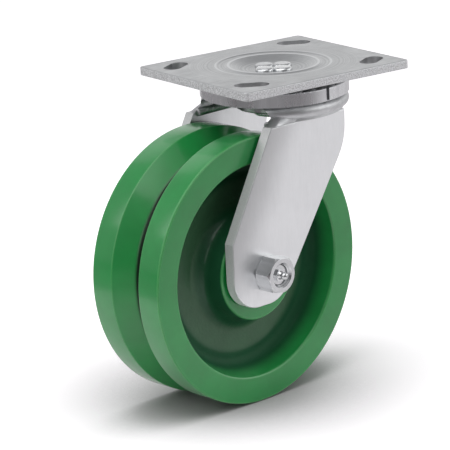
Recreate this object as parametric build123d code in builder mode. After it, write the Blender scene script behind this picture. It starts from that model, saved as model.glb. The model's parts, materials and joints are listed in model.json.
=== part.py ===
from build123d import *
import math
import os

os.makedirs("parts", exist_ok=True)

# Swivel caster with an iron V-groove wheel. The origin is the centre of the top plate's
# mounting face, on the swivel axis. Z is up. The plate's long side lies along X and its
# short side along Y. The fork stands swivelled by a few degrees and trails towards -X.

# Driving sizes, in millimetres and degrees

# Top plate
plate_length = 114.3
plate_width = 101.6
plate_thickness = 4.8
plate_corner_radius = 2.2
plate_edge_round = 0.6
bolt_hole_radius = 5.16
slot_outer_x = 46.04
slot_outer_y = 33.34
slot_inner_x = 38.1
slot_inner_y = 38.1
dish_rim_radius = 25.0
dish_floor_radius = 16.5
dish_depth = 3.0
dish_rim_round = 1.4
dish_floor_round = 20.0
coined_band_inner = 26.8
coined_band_outer = 32.6
coined_band_depth = 0.45
coined_band_slope = 1.2

# Kingpin, riveted over inside the dish
kingpin_radius = 9.53
kingpin_foot_radius = 13.5
kingpin_foot_height = 4.0
kingpin_foot_chamfer = 1.2
lobe_radius = 5.4
lobe_spread = 7.2
lobe_height = 1.9
lobe_round = 1.7
lobe_core_radius = 6.2
lobe_core_height = 0.5
lobe_angle = 9.3

# Ball races of the swivel
upper_ball_radius = 3.97
upper_track_radius = 32.5
upper_ball_count = 24
upper_ball_sink = 1.7
lower_ball_radius = 3.175
lower_track_radius = 17.4
lower_ball_count = 16
lower_ball_sink = 1.35
lower_race_radius = 22.3
lower_race_thickness = 4.1
lower_race_chamfer = 0.6

# Crown of the fork
crown_height = 16.46
crown_wall_radius = 38.8
crown_step_gap = 1.6
crown_hub_gap = 2.0
crown_web_thickness = 6.8
race_pocket_radius = 24.0
bead_ledge_radius = 39.9
bead_ledge_drop = 1.0
bead_radius = 41.9
bead_drop = 3.7
neck_radius = 38.6
neck_rise = 1.4
arch_rise = 8.6
arch_corner_radius = 6.0
saddle_rise = 6.8
saddle_top_radius = 37.8
saddle_front = -36.6
saddle_rear = 20.6
saddle_corner_radius = 4.0
dust_ring_radius = 42.3
dust_ring_lip = 0.44
dust_ring_width = 7.2
dust_ring_slot = 2.3
dust_ring_round = 0.6

# Fork legs
leg_thickness = 6.35
leg_front_overhang = 0.8
leg_rear_overhang = 0.3
leg_shoulder_radius = 33.0
leg_shoulder_drop = 7.5
leg_shoulder_turn = 40.0
leg_tip_radius = 18.4
leg_tip_lead = 7.6
leg_corner_rise = 21.0
leg_edge_round = 0.6
leg_ledge = 0.45
weld_rise = 1.3
weld_half_width = 2.1
weld_end_margin = 2.0

# Wheel
swivel_rest_angle = 7.54
axle_trail = 44.4
wheel_top_gap = 4.4
wheel_radius = 76.2
tread_half_width = 26.6
tread_edge_round = 0.9
groove_half_width = 11.1
groove_root_radius = 3.0
rim_mouth_radius = 61.2
rim_root_radius = 56.5
rim_edge_round = 1.4
rim_fillet = 6.0
web_half_thickness = 11.0
hub_half_length = 26.65
hub_face_radius = 28.3
hub_root_radius = 30.6
hub_fillet = 9.0
hub_edge_round = 1.2

# Roller bearing in the wheel's hub
hub_bore_radius = 15.08
sleeve_wall = 0.75
sleeve_half_length = 23.9
sleeve_slot = 1.0
roller_radius = 2.36
roller_half_length = 21.7
roller_count = 12
cage_bar_radius = 0.5
cage_ring_width = 1.5
cage_ring_gap = 0.3
cage_ring_inner = 10.0
cage_ring_outer = 13.9
end_washer_inner_face = 24.2
end_washer_outer_face = 25.9

# Axle, its nut and what it carries
axle_radius = 6.32
bushing_radius = 9.5
thrust_washer_radius = 20.7
thrust_washer_thickness = 1.15
thrust_washer_gap = 0.15
hex_across_flats = 19.05
hex_chamfer_height = 1.2
nut_height = 11.1
nut_corner_angle = -9.0
bolt_head_height = 7.9
axle_end_recess = 2.6
axle_end_chamfer = 0.9
grease_hole_radius = 1.75
grease_hole_overrun = 2.0
cross_hole_radius = 1.5
nipple_thread_radius = 2.45
nipple_thread_length = 5.0
nipple_collar_flats = 6.35
nipple_collar_height = 1.3
nipple_shoulder_radius = 2.5
nipple_neck_radius = 1.6
nipple_head_radius = 2.25
nipple_length = 6.4
nipple_bore_radius = 0.6
nipple_seat_radius = 0.9
nipple_seat_depth = 1.6

# Clearances
ball_clearance = 0.05
fit_clearance = 0.05
press_clearance = 0.02
axle_hole_clearance = 0.13
crown_bore_clearance = 0.6
cut_overrun = 2.0

# Sizes that follow from the driving sizes
bushing_half_length = hub_half_length + thrust_washer_gap + thrust_washer_thickness + fit_clearance
leg_inner = bushing_half_length + fit_clearance
leg_outer = leg_inner + leg_thickness
plate_underside = -plate_thickness
dish_floor = -dish_depth
dish_underside = dish_floor - plate_thickness
dish_boss_radius = dish_rim_radius - dish_rim_round
upper_ball_height = plate_underside + upper_ball_sink - upper_ball_radius
crown_top = upper_ball_height - upper_ball_radius + upper_ball_sink
crown_step_radius = dish_boss_radius + crown_step_gap
dust_ring_top = crown_top + dust_ring_lip
dust_ring_bottom = dust_ring_top - dust_ring_width
bead_ledge_foot = dust_ring_bottom - bead_ledge_drop
bead_height = dust_ring_bottom - bead_drop
flange_bottom = crown_top - crown_height
neck_height = flange_bottom + neck_rise
arch_height = flange_bottom + arch_rise
saddle_top = flange_bottom + saddle_rise
leg_top_front = saddle_front - leg_front_overhang
leg_top_rear = saddle_rear + leg_rear_overhang
leg_tip_front = -axle_trail - leg_tip_lead
axle_height = flange_bottom - wheel_top_gap - wheel_radius
crown_hub_top = dish_underside - crown_hub_gap
crown_hub_underside = crown_hub_top - crown_web_thickness
lower_ball_height = crown_hub_underside + lower_ball_sink - lower_ball_radius
lower_race_top = lower_ball_height - lower_ball_radius + lower_ball_sink
lower_race_bottom = lower_race_top - lower_race_thickness
kingpin_hole_radius = kingpin_radius + fit_clearance
slot_run = math.hypot(slot_outer_x - slot_inner_x, slot_inner_y - slot_outer_y)
slot_angle = math.degrees(math.atan2(slot_inner_y - slot_outer_y, slot_outer_x - slot_inner_x))
slot_centre_x = (slot_outer_x + slot_inner_x) / 2
slot_centre_y = (slot_outer_y + slot_inner_y) / 2
groove_apex = wheel_radius - groove_half_width
sleeve_outer_radius = hub_bore_radius - press_clearance
sleeve_inner_radius = sleeve_outer_radius - sleeve_wall
roller_circle_radius = (bushing_radius + sleeve_inner_radius) / 2
cage_half_length = roller_half_length + cage_ring_gap + cage_ring_width
nut_front = leg_outer + nut_height
axle_end = nut_front - axle_end_recess

# The fork's own directions, turned about Z by the rest angle
fork_x = Vector(1, 0, 0).rotate(Axis.Z, swivel_rest_angle)
fork_y = Vector(0, 1, 0).rotate(Axis.Z, swivel_rest_angle)
axle_centre = fork_x * -axle_trail + Vector(0, 0, axle_height)
axle_axis = Axis(axle_centre, fork_y)
plate_section = Plane(origin=(0, 0, 0), x_dir=(1, 0, 0), z_dir=(0, -1, 0))
fork_section = Plane(origin=(0, 0, 0), x_dir=fork_x, z_dir=-fork_y)
axle_section = Plane(origin=axle_centre, x_dir=fork_y, z_dir=fork_x)
leg_sides = {"near": -1, "far": 1}


def fork_level(z):
    """A level plane turned with the fork."""
    return Plane(origin=(0, 0, z), x_dir=fork_x, z_dir=(0, 0, 1))


def fork_side(y):
    """An upright plane at a distance across the fork, seen from the near side."""
    return Plane(origin=fork_y * y, x_dir=fork_x, z_dir=-fork_y)


def fork_front(x):
    """An upright plane across the fork, at a distance along it."""
    return Plane(origin=fork_x * x, x_dir=fork_y, z_dir=fork_x)


def axle_side(y):
    """An upright plane centred on the axle, seen from the near side."""
    return Plane(origin=axle_centre + fork_y * y, x_dir=fork_x, z_dir=-fork_y)


def turned_rectangle(inner, outer, low, high):
    """A rectangle in a section, given by its radii and its extent along the axis."""
    with Locations(((low + high) / 2, (inner + outer) / 2)):
        Rectangle(abs(high - low), outer - inner)


# Top plate: stamped steel, with a dished centre, a coined ball track and four slots
with BuildPart() as top_plate:
    with BuildSketch(Plane.XY):
        RectangleRounded(plate_length, plate_width, plate_corner_radius)
    extrude(amount=-plate_thickness)
    fillet(top_plate.edges().group_by(Axis.Z)[-1], plate_edge_round)
    boss_root = plate_underside + cut_overrun
    with BuildSketch(plate_section):
        with BuildLine():
            FilletPolyline(
                (0, boss_root),
                (dish_boss_radius, boss_root),
                (dish_boss_radius, plate_underside),
                (dish_floor_radius, dish_underside),
                (0, dish_underside),
                radius=(0, 0, dish_floor_round),
            )
            Line((0, dish_underside), (0, boss_root))
        make_face()
    revolve(axis=Axis.Z)
    with BuildSketch(plate_section):
        with BuildLine():
            FilletPolyline(
                (0, dish_floor),
                (dish_floor_radius, dish_floor),
                (dish_rim_radius, 0),
                (dish_rim_radius + dish_rim_round, 0),
                radius=(dish_floor_round, dish_rim_round),
            )
            Polyline(
                (dish_rim_radius + dish_rim_round, 0),
                (dish_rim_radius + dish_rim_round, cut_overrun),
                (0, cut_overrun),
                (0, dish_floor),
            )
        make_face()
    revolve(axis=Axis.Z, mode=Mode.SUBTRACT)
    with BuildSketch(plate_section):
        with BuildLine():
            Polyline(
                (coined_band_inner, 0),
                (coined_band_inner + coined_band_slope, -coined_band_depth),
                (coined_band_outer - coined_band_slope, -coined_band_depth),
                (coined_band_outer, 0),
                (coined_band_inner, 0),
            )
        make_face()
    revolve(axis=Axis.Z, mode=Mode.SUBTRACT)
    with BuildSketch(plate_section):
        with Locations((upper_track_radius, upper_ball_height)):
            Circle(upper_ball_radius + ball_clearance)
    revolve(axis=Axis.Z, mode=Mode.SUBTRACT)
    with BuildSketch(Plane.XY):
        Circle(kingpin_hole_radius)
        for end in (-1, 1):
            for side in (-1, 1):
                with Locations((end * slot_centre_x, side * slot_centre_y)):
                    SlotCenterToCenter(
                        slot_run, 2 * bolt_hole_radius, rotation=-end * side * slot_angle
                    )
    extrude(amount=dish_underside - cut_overrun, mode=Mode.SUBTRACT)
top_plate.part.label = "top_plate"
export_step(top_plate.part, "parts/top_plate.step")

# One lobe of the kingpin's riveted head
with BuildPart() as lobe:
    with BuildSketch(Plane.XY):
        Circle(lobe_radius)
    extrude(amount=lobe_height)
    fillet(lobe.edges().group_by(Axis.Z)[-1], lobe_round)

# Kingpin: a forged foot below, a plain shank, and four lobes riveted into the dish
with BuildPart() as kingpin:
    with BuildSketch(Plane.XY.offset(lower_race_bottom - kingpin_foot_height)):
        Circle(kingpin_foot_radius)
    extrude(amount=kingpin_foot_height)
    chamfer(kingpin.edges().group_by(Axis.Z)[0], kingpin_foot_chamfer)
    with BuildSketch(Plane.XY.offset(lower_race_bottom)):
        Circle(kingpin_radius)
    extrude(amount=dish_floor - lower_race_bottom)
    with BuildSketch(Plane.XY.offset(dish_floor)):
        Circle(lobe_core_radius)
    extrude(amount=lobe_core_height)
    with Locations(Plane.XY.offset(dish_floor)):
        with PolarLocations(lobe_spread, 4, start_angle=lobe_angle):
            add(lobe.part)
kingpin.part.label = "kingpin"
export_step(kingpin.part, "parts/kingpin.step")

# Lower race: the hardened ring that the lower balls run on
with BuildPart() as lower_race:
    with BuildSketch(Plane.XY.offset(lower_race_bottom)):
        Circle(lower_race_radius)
        Circle(kingpin_hole_radius, mode=Mode.SUBTRACT)
    extrude(amount=lower_race_thickness)
    with BuildSketch(plate_section):
        with Locations((lower_track_radius, lower_ball_height)):
            Circle(lower_ball_radius + ball_clearance)
    revolve(axis=Axis.Z, mode=Mode.SUBTRACT)
    underside_edges = lower_race.edges().group_by(Axis.Z)[0]
    chamfer(underside_edges.sort_by(SortBy.LENGTH)[-1], lower_race_chamfer)
lower_race.part.label = "lower_race"
export_step(lower_race.part, "parts/lower_race.step")

# Upper and lower balls, each a full ring of loose balls
with BuildPart() as upper_balls:
    with Locations(Plane.XY.offset(upper_ball_height)):
        with PolarLocations(upper_track_radius, upper_ball_count):
            Sphere(upper_ball_radius)
upper_balls.part.label = "upper_balls"
export_step(upper_balls.part, "parts/upper_balls.step")

with BuildPart() as lower_balls:
    with Locations(Plane.XY.offset(lower_ball_height)):
        with PolarLocations(lower_track_radius, lower_ball_count):
            Sphere(lower_ball_radius)
lower_balls.part.label = "lower_balls"
export_step(lower_balls.part, "parts/lower_balls.step")

# Crown: the forged head of the fork. A round drum with a rolled bead carries both ball
# tracks, and a saddle blends it into the two straight flanges that the legs hang from.
with BuildPart() as crown:
    with BuildSketch(fork_section):
        with BuildLine():
            Polyline(
                (0, crown_hub_top),
                (crown_step_radius, crown_hub_top),
                (crown_step_radius, crown_top),
                (crown_wall_radius, crown_top),
                (crown_wall_radius, dust_ring_bottom),
                (bead_ledge_radius, dust_ring_bottom),
                (bead_ledge_radius, bead_ledge_foot),
            )
            ThreePointArc(
                (bead_ledge_radius, bead_ledge_foot),
                (bead_radius, bead_height),
                (neck_radius, neck_height),
            )
            Polyline(
                (neck_radius, neck_height),
                (neck_radius, flange_bottom),
                (0, flange_bottom),
                (0, crown_hub_top),
            )
        make_face()
    revolve(axis=Axis.Z)
    with BuildSketch(fork_level(saddle_top)):
        Circle(saddle_top_radius)
    with BuildSketch(fork_level(flange_bottom)):
        with Locations(((saddle_front + saddle_rear) / 2, 0)):
            RectangleRounded(
                saddle_rear - saddle_front, 2 * (leg_outer - leg_ledge), saddle_corner_radius
            )
    loft()
    arch_foot = flange_bottom - cut_overrun
    with BuildSketch(fork_front(-dust_ring_radius)):
        with BuildLine():
            FilletPolyline(
                (-leg_inner, arch_foot),
                (-leg_inner, arch_height),
                (leg_inner, arch_height),
                (leg_inner, arch_foot),
                radius=arch_corner_radius,
            )
            Line((leg_inner, arch_foot), (-leg_inner, arch_foot))
        make_face()
    extrude(amount=2 * dust_ring_radius, mode=Mode.SUBTRACT)
    with BuildSketch(Plane.XY.offset(flange_bottom)):
        Circle(race_pocket_radius)
    extrude(amount=crown_hub_underside - flange_bottom, mode=Mode.SUBTRACT)
    with BuildSketch(Plane.XY.offset(flange_bottom)):
        Circle(kingpin_radius + crown_bore_clearance)
    extrude(amount=crown_top - flange_bottom, mode=Mode.SUBTRACT)
    with BuildSketch(fork_section):
        with Locations((upper_track_radius, upper_ball_height)):
            Circle(upper_ball_radius + ball_clearance)
        with Locations((lower_track_radius, lower_ball_height)):
            Circle(lower_ball_radius + ball_clearance)
    revolve(axis=Axis.Z, mode=Mode.SUBTRACT)
crown.part.label = "crown"
export_step(crown.part, "parts/crown.step")

# Dust ring: a split band sprung round the crown's wall, its slot on the near side
with BuildPart() as dust_ring:
    with BuildSketch(fork_level(dust_ring_bottom)):
        Circle(dust_ring_radius)
        Circle(crown_wall_radius + press_clearance, mode=Mode.SUBTRACT)
    extrude(amount=dust_ring_width)
    fillet(dust_ring.edges().group_by(Axis.Z)[-1], dust_ring_round)
    with BuildSketch(fork_level(dust_ring_bottom)):
        Rectangle(dust_ring_slot, 2 * dust_ring_radius, align=(Align.CENTER, Align.MAX))
    extrude(amount=dust_ring_width, mode=Mode.SUBTRACT)
dust_ring.part.label = "dust_ring"
export_step(dust_ring.part, "parts/dust_ring.step")

# Legs: flat plates, wide under the crown and rounded about the axle, with eased edges
for name, side in leg_sides.items():
    with BuildPart() as leg:
        with BuildSketch(fork_side(side * leg_inner)):
            with BuildLine():
                Polyline(
                    (leg_tip_front - leg_tip_radius, axle_height + leg_corner_rise),
                    (leg_top_front, flange_bottom),
                    (leg_top_rear, flange_bottom),
                )
                CenterArc(
                    (leg_top_rear - leg_shoulder_radius, flange_bottom - leg_shoulder_drop),
                    leg_shoulder_radius,
                    0,
                    -leg_shoulder_turn,
                )
                CenterArc((-axle_trail, axle_height), leg_tip_radius, 0, 360)
                CenterArc((leg_tip_front, axle_height), leg_tip_radius, 0, 360)
            make_hull()
            with Locations((-axle_trail, axle_height)):
                Circle(axle_radius + axle_hole_clearance, mode=Mode.SUBTRACT)
        extrude(amount=-side * leg_thickness)
        outer_face = leg.faces().sort_by(Axis((0, 0, 0), fork_y * side))[-1]
        fillet(outer_face.outer_wire().edges(), leg_edge_round)
    leg.part.label = name + "_leg"
    export_step(leg.part, "parts/" + name + "_leg.step")

# Welds: one bead along the inside of each joint between a leg and the crown's flange
with BuildPart() as leg_welds:
    for side in leg_sides.values():
        with BuildSketch(fork_front(saddle_front + weld_end_margin)):
            with BuildLine():
                ThreePointArc(
                    (side * leg_inner, flange_bottom - weld_half_width),
                    (side * (leg_inner - weld_rise), flange_bottom),
                    (side * leg_inner, flange_bottom + weld_half_width),
                )
                Line(
                    (side * leg_inner, flange_bottom + weld_half_width),
                    (side * leg_inner, flange_bottom - weld_half_width),
                )
            make_face()
        extrude(amount=saddle_rear - saddle_front - 2 * weld_end_margin)
leg_welds.part.label = "leg_welds"
export_step(leg_welds.part, "parts/leg_welds.step")

# Wheel: one iron casting, turned on its tread, V-groove and bore
with BuildPart() as wheel:
    with BuildSketch(axle_section):
        root_tangent = groove_root_radius / math.sqrt(2)
        root_bottom = groove_apex + groove_root_radius * (math.sqrt(2) - 1)
        with BuildLine():
            FilletPolyline(
                (0, hub_bore_radius),
                (hub_half_length, hub_bore_radius),
                (hub_half_length, hub_face_radius),
                (web_half_thickness, hub_root_radius),
                (web_half_thickness, rim_root_radius),
                (tread_half_width, rim_mouth_radius),
                (tread_half_width, wheel_radius),
                (groove_half_width, wheel_radius),
                (root_tangent, groove_apex + root_tangent),
                radius=(
                    0.0,
                    hub_edge_round,
                    hub_fillet,
                    rim_fillet,
                    rim_edge_round,
                    tread_edge_round,
                    tread_edge_round,
                ),
            )
            TangentArc(
                (root_tangent, groove_apex + root_tangent), (0, root_bottom), tangent=(-1, -1)
            )
            Line((0, root_bottom), (0, hub_bore_radius))
        make_face()
        mirror(about=Plane.YZ)
    revolve(axis=axle_axis)
wheel.part.label = "wheel"
export_step(wheel.part, "parts/wheel.step")

# Bearing sleeve: a split steel liner pressed into the hub
with BuildPart() as bearing_sleeve:
    with BuildSketch(axle_section):
        turned_rectangle(
            sleeve_inner_radius, sleeve_outer_radius, -sleeve_half_length, sleeve_half_length
        )
    revolve(axis=axle_axis)
    with BuildSketch(axle_side(sleeve_half_length)):
        with Locations((0, sleeve_outer_radius)):
            Rectangle(sleeve_slot, 4 * sleeve_wall)
    extrude(amount=2 * sleeve_half_length, mode=Mode.SUBTRACT)
bearing_sleeve.part.label = "bearing_sleeve"
export_step(bearing_sleeve.part, "parts/bearing_sleeve.step")

# Rollers and their cage: two rings joined by a bar between each pair of rollers
with BuildPart() as rollers:
    with BuildSketch(axle_side(roller_half_length)):
        with PolarLocations(roller_circle_radius, roller_count):
            Circle(roller_radius)
    extrude(amount=2 * roller_half_length)
rollers.part.label = "rollers"
export_step(rollers.part, "parts/rollers.step")

with BuildPart() as roller_cage:
    for side in leg_sides.values():
        inner_end = side * (cage_half_length - cage_ring_width)
        with BuildSketch(axle_section):
            turned_rectangle(
                cage_ring_inner, cage_ring_outer, inner_end, side * cage_half_length
            )
        revolve(axis=axle_axis)
    with BuildSketch(axle_side(cage_half_length)):
        with PolarLocations(roller_circle_radius, roller_count, start_angle=180 / roller_count):
            Circle(cage_bar_radius)
    extrude(amount=2 * cage_half_length)
roller_cage.part.label = "roller_cage"
export_step(roller_cage.part, "parts/roller_cage.step")

# End washers close the hub's bore, thrust washers part the hub from the legs
for name, side in leg_sides.items():
    with BuildPart() as end_washer:
        with BuildSketch(axle_section):
            turned_rectangle(
                bushing_radius + 2 * fit_clearance,
                sleeve_outer_radius,
                side * end_washer_inner_face,
                side * end_washer_outer_face,
            )
        revolve(axis=axle_axis)
    end_washer.part.label = name + "_end_washer"
    export_step(end_washer.part, "parts/" + name + "_end_washer.step")

    thrust_washer_inner_face = hub_half_length + thrust_washer_gap
    with BuildPart() as thrust_washer:
        with BuildSketch(axle_section):
            turned_rectangle(
                bushing_radius + fit_clearance,
                thrust_washer_radius,
                side * thrust_washer_inner_face,
                side * (thrust_washer_inner_face + thrust_washer_thickness),
            )
        revolve(axis=axle_axis)
    thrust_washer.part.label = name + "_thrust_washer"
    export_step(thrust_washer.part, "parts/" + name + "_thrust_washer.step")

# Spanner bushing: the hardened tube that the legs clamp, with its grease hole
with BuildPart() as spanner_bushing:
    with BuildSketch(axle_section):
        turned_rectangle(
            axle_radius + fit_clearance, bushing_radius, -bushing_half_length, bushing_half_length
        )
    revolve(axis=axle_axis)
    with BuildSketch(Plane(origin=axle_centre, x_dir=fork_x, z_dir=(0, 0, 1))):
        Circle(cross_hole_radius)
    extrude(amount=2 * bushing_radius, mode=Mode.SUBTRACT)
spanner_bushing.part.label = "spanner_bushing"
export_step(spanner_bushing.part, "parts/spanner_bushing.step")


def chamfered_hexagon(low, high, across_flats, turn):
    """A hexagon along the axle between two distances, with both ends chamfered."""
    corner_radius = across_flats / math.sqrt(3)
    flat_radius = across_flats / 2
    with BuildPart() as hexagon:
        with BuildSketch(axle_side(high)):
            RegularPolygon(flat_radius, 6, major_radius=False, rotation=turn)
        extrude(amount=high - low)
        with BuildSketch(axle_section):
            with BuildLine():
                Polyline(
                    (low, 0),
                    (low, flat_radius),
                    (low + hex_chamfer_height, corner_radius),
                    (high - hex_chamfer_height, corner_radius),
                    (high, flat_radius),
                    (high, 0),
                    (low, 0),
                )
            make_face()
        revolve(axis=axle_axis, mode=Mode.INTERSECT)
    return hexagon.part


# Axle bolt: hexagon head on the far side, drilled from the near end for grease
bolt_head = chamfered_hexagon(leg_outer, leg_outer + bolt_head_height, hex_across_flats, 0)
with BuildPart() as axle_bolt:
    add(bolt_head)
    with BuildSketch(axle_side(leg_outer)):
        Circle(axle_radius)
    extrude(amount=leg_outer + axle_end)
    near_end = axle_bolt.faces().sort_by(axle_axis)[0]
    chamfer(near_end.outer_wire().edges(), axle_end_chamfer)
    with BuildSketch(axle_side(-axle_end)):
        Circle(nipple_thread_radius + press_clearance)
    extrude(amount=-nipple_thread_length - fit_clearance, mode=Mode.SUBTRACT)
    with BuildSketch(axle_side(-axle_end)):
        Circle(grease_hole_radius)
    extrude(amount=-axle_end - grease_hole_overrun, mode=Mode.SUBTRACT)
    with BuildSketch(Plane(origin=axle_centre, x_dir=fork_x, z_dir=(0, 0, 1))):
        Circle(cross_hole_radius)
    extrude(amount=2 * axle_radius, mode=Mode.SUBTRACT)
axle_bolt.part.label = "axle_bolt"
export_step(axle_bolt.part, "parts/axle_bolt.step")

# Axle nut, with a countersunk mouth
nut_blank = chamfered_hexagon(-nut_front, -leg_outer, hex_across_flats, nut_corner_angle)
with BuildPart() as axle_nut:
    add(nut_blank)
    with BuildSketch(axle_side(-leg_outer)):
        Circle(axle_radius + fit_clearance)
    extrude(amount=nut_height, mode=Mode.SUBTRACT)
    mouth = axle_nut.faces().sort_by(axle_axis)[0].inner_wires()[0]
    chamfer(mouth.edges(), axle_end_chamfer)
axle_nut.part.label = "axle_nut"
export_step(axle_nut.part, "parts/axle_nut.step")

# Grease nipple: screwed into the axle's end, with a six-sided collar and a ball tip
nipple_root = -axle_end
nipple_collar_end = nipple_root - nipple_collar_height
nipple_tip = nipple_root - nipple_length
nipple_head_centre = nipple_tip + nipple_head_radius
with BuildPart() as grease_nipple:
    with BuildSketch(axle_side(nipple_root)):
        RegularPolygon(nipple_collar_flats / 2, 6, major_radius=False, rotation=nut_corner_angle)
    extrude(amount=nipple_collar_height)
    with BuildSketch(axle_section):
        with BuildLine():
            Polyline(
                (nipple_root + nipple_thread_length, 0),
                (nipple_root + nipple_thread_length, nipple_thread_radius),
                (nipple_root, nipple_thread_radius),
                (nipple_collar_end, nipple_shoulder_radius),
                (nipple_head_centre + nipple_neck_radius, nipple_neck_radius),
                (nipple_head_centre, nipple_head_radius),
            )
            TangentArc(
                (nipple_head_centre, nipple_head_radius), (nipple_tip, 0), tangent=(-1, 0)
            )
            Line((nipple_tip, 0), (nipple_root + nipple_thread_length, 0))
        make_face()
    revolve(axis=axle_axis)
    with BuildSketch(axle_side(nipple_root + nipple_thread_length)):
        Circle(nipple_bore_radius)
    extrude(amount=nipple_thread_length + nipple_length, mode=Mode.SUBTRACT)
    with BuildSketch(axle_side(nipple_tip)):
        Circle(nipple_seat_radius)
    extrude(amount=-nipple_seat_depth, mode=Mode.SUBTRACT)
grease_nipple.part.label = "grease_nipple"
export_step(grease_nipple.part, "parts/grease_nipple.step")

# Check ball that closes the nipple's mouth
with BuildPart() as nipple_ball:
    with Locations(axle_side(nipple_tip + nipple_seat_radius)):
        Sphere(nipple_seat_radius - press_clearance)
nipple_ball.part.label = "nipple_ball"
export_step(nipple_ball.part, "parts/nipple_ball.step")
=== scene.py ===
"""Dresses a plated swivel caster with a green enamelled V-groove wheel, and sets its studio."""

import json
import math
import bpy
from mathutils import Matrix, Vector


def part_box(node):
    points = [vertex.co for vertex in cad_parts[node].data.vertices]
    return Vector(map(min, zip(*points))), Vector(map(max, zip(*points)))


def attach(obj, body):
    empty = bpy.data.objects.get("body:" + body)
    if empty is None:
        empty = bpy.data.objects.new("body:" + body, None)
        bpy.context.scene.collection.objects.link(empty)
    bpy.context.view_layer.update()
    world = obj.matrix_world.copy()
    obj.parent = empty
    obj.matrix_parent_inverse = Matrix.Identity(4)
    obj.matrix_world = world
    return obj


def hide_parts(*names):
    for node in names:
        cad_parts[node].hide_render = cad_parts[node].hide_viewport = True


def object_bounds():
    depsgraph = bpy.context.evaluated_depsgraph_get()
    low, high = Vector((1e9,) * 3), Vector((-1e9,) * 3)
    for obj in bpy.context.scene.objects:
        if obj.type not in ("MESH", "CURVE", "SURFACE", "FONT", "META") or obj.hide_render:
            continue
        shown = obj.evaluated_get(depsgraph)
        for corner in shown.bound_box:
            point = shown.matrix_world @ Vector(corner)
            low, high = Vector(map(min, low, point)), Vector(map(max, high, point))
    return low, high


bl_info = {
    "name": "V-Groove Swivel Caster",
    "version": (1, 0, 0),
    "blender": (4, 5, 0),
    "location": "View3D > Sidebar > Caster",
    "description": "Finishes a swivel caster: zinc plate, welds, threads, green wheel and studio",
    "category": "Object",
}

import bmesh
import bpy
from bpy.props import FloatProperty, FloatVectorProperty, IntProperty, PointerProperty
from mathutils import Matrix, Vector

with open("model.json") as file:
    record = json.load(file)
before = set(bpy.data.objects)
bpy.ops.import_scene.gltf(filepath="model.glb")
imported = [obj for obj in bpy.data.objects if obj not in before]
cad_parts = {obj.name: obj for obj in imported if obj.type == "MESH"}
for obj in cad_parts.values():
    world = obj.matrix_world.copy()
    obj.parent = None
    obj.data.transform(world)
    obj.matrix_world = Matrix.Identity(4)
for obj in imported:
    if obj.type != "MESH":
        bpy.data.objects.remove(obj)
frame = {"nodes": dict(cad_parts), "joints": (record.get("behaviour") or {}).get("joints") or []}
cad_low, cad_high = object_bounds()
NODES = frame["nodes"]


def joint_named(name):
    """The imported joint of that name."""
    for joint in frame["joints"]:
        if joint["name"] == name:
            return joint
    raise RuntimeError("the frame has no joint named " + name)


AXLE_CENTRE = Vector(joint_named("wheel_spin")["pos_m"])
AXLE = Vector(joint_named("wheel_spin")["axis"]).normalized()
UP = Vector((0.0, 0.0, 1.0))
TRAVEL = AXLE.cross(UP).normalized()
REST_TURN = math.atan2(TRAVEL.y, TRAVEL.x)
AXLE_TURN = (math.radians(-90.0), 0.0, REST_TURN)
PLATE_HALF = (*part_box("top_plate")[1][:2], 1.0)

# The wheel's rounded corners
HUB_ROUND = 0.0012
HUB_FILLET = 0.009
RIM_FILLET = 0.006
MOUTH_ROUND = 0.0014
TREAD_ROUND = 0.0009
GROOVE_ROUND = 0.003

# A weld bead's end, as a share of its radius, the three steps of a ripple, as shares of its
# length, and how much the middle of it swells and its end shrinks
BEAD_END = 0.6
BEAD_STEPS = (0.2, 0.45, 0.35)
BEAD_SWELL = 1.04
BEAD_SHRINK = 0.8

# Rings of the enamel, as inner and outer radius: a ring of painted light on the web's flat, and
# the fillet's trough where the coat is thinned; and how metallic torn plating looks
WEB_FLAT_LIGHT_RING = (0.0375, 0.0465)
TROUGH_RING = (0.0505, 0.0565)
FROSTED_METAL = 0.2


# The studio. Directions on the floor as the camera sees it, the room's brightness by heading in
# degrees from +X towards +Y, and the soft lamps by name, place, size and power.

SHEET_RIGHT = (0.775, -0.632, 0.0)
SHEET_BACK = (0.632, 0.775, 0.0)
ROOM_WALLS = (
    (-180.0, 0.6),
    (-165.0, 0.6),
    (-143.0, 0.14),
    (-85.0, 0.15),
    (-60.0, 0.7),
    (-40.0, 0.95),
    (0.0, 0.95),
    (50.0, 1.0),
    (100.0, 0.85),
    (130.0, 0.55),
    (180.0, 0.6),
)
FLOOR_SIZE = 12.0
# The floor's colour at the deepest of the painted shadow under the wheel, and past the sheet's
# edge as metal and enamel see it; then the floor's own pale colour.
FLOOR_PAINTED_SHADE_DARK = (0.02, 0.004, 0.014, 1.0)
FLOOR_PALE = (0.9, 0.872, 0.892, 1.0)
CEILING = (0.4, 0.4, 0.41, 1.0)
WHITE = (1.0, 1.0, 1.0, 1.0)
LAMP_TARGET = Vector((-0.02, 0.0, -0.07))
PANELS = (
    ("top_panel", (-0.35, -0.2, 1.05), (1.0, 1.0), 5.5),
    ("back_panel", (0.1, 0.85, 0.7), (0.5, 0.3), 0.25),
    ("left_panel", (-1.0, 0.4, 0.75), (0.75, 0.75), 3.2),
    ("edge_panel", (-0.95, -0.4, 0.4), (0.6, 0.6), 1.2),
    ("right_panel", (0.95, -0.85, 0.45), (1.3, 1.0), 4.0),
)


# Settings that a user may change


def length_setting(name, description, default):
    """A length, in metres."""
    return FloatProperty(
        name=name, description=description, default=default, unit="LENGTH", subtype="DISTANCE"
    )


def angle_setting(name, description, default):
    """An angle, in radians."""
    return FloatProperty(
        name=name, description=description, default=default, unit="ROTATION", subtype="ANGLE"
    )


def share_setting(name, description, default):
    """A share or a tone, from 0 to 1."""
    return FloatProperty(
        name=name, description=description, default=default, subtype="FACTOR", min=0.0, max=1.0
    )


def colour_setting(name, description, default):
    """A colour of a finish."""
    return FloatVectorProperty(
        name=name,
        description=description,
        default=default,
        size=3,
        subtype="COLOR",
        min=0.0,
        max=1.0,
    )


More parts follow.
